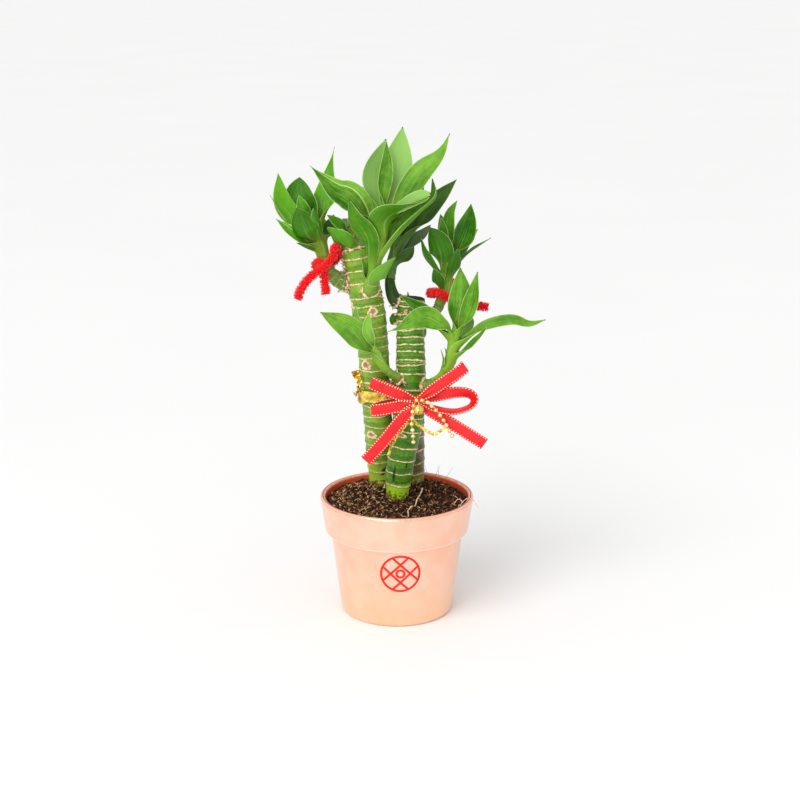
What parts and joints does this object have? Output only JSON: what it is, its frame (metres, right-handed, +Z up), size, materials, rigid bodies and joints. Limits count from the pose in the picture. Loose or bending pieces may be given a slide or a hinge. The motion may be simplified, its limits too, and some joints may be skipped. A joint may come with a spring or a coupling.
{
  "type": "lucky bamboo in a pot",
  "caption": "Tied lucky bamboo canes with ringed stems and leafy shoots, in a round collared pot, with a red bow, gold trim and red chenille stems.",
  "frame": {"origin": "centre of the pot's flat underside, on the surface it stands on", "axes": "+Z up along the pot's axis, -Y towards the front with the bow, +X to the right seen from the front"},
  "size_m": [0.1715, 0.1163, 0.3139],
  "materials": {
    "pot_glaze": "pale rose pearl glaze, glossy, coppery inside",
    "cane_light": "living cane, light green, satin, pale tan leaf-scar rings",
    "cane_dark": "living cane, dark green, satin, pale tan leaf-scar rings",
    "soil": "dark moist peat with tan fibres, matt",
    "root": "pale dry root",
    "leaf": "glossy green leaf with fine long veins and a pale edge",
    "leaf_dark": "glossy dark green leaf with fine long veins",
    "gold_foil": "crumpled gold foil",
    "red_ribbon": "red satin with gold dotted edges",
    "gold_beads": "metallised gold plastic beads, shiny",
    "red_chenille": "bright red chenille pile on a wire"
  },
  "bodies": {
    "root": {"pot": "pot_glaze", "cane_tall": "cane_light", "cane_middle": "cane_dark", "cane_short": "cane_dark", "soil": "soil", "loose_root": "root", "shoot_left": "leaf", "shoot_centre": "leaf", "shoot_crown": "leaf", "shoot_back": "leaf_dark", "shoot_upper_right": "leaf", "shoot_lower_right": "leaf", "shoot_lower_left": "leaf", "shoot_behind": "leaf_dark", "tie_band": "gold_foil", "tie_strips": "gold_foil", "ribbon_bow": "red_ribbon", "bead_garland": "gold_beads", "chenille_left": "red_chenille", "chenille_right": "red_chenille"}
  },
  "joints": []
}
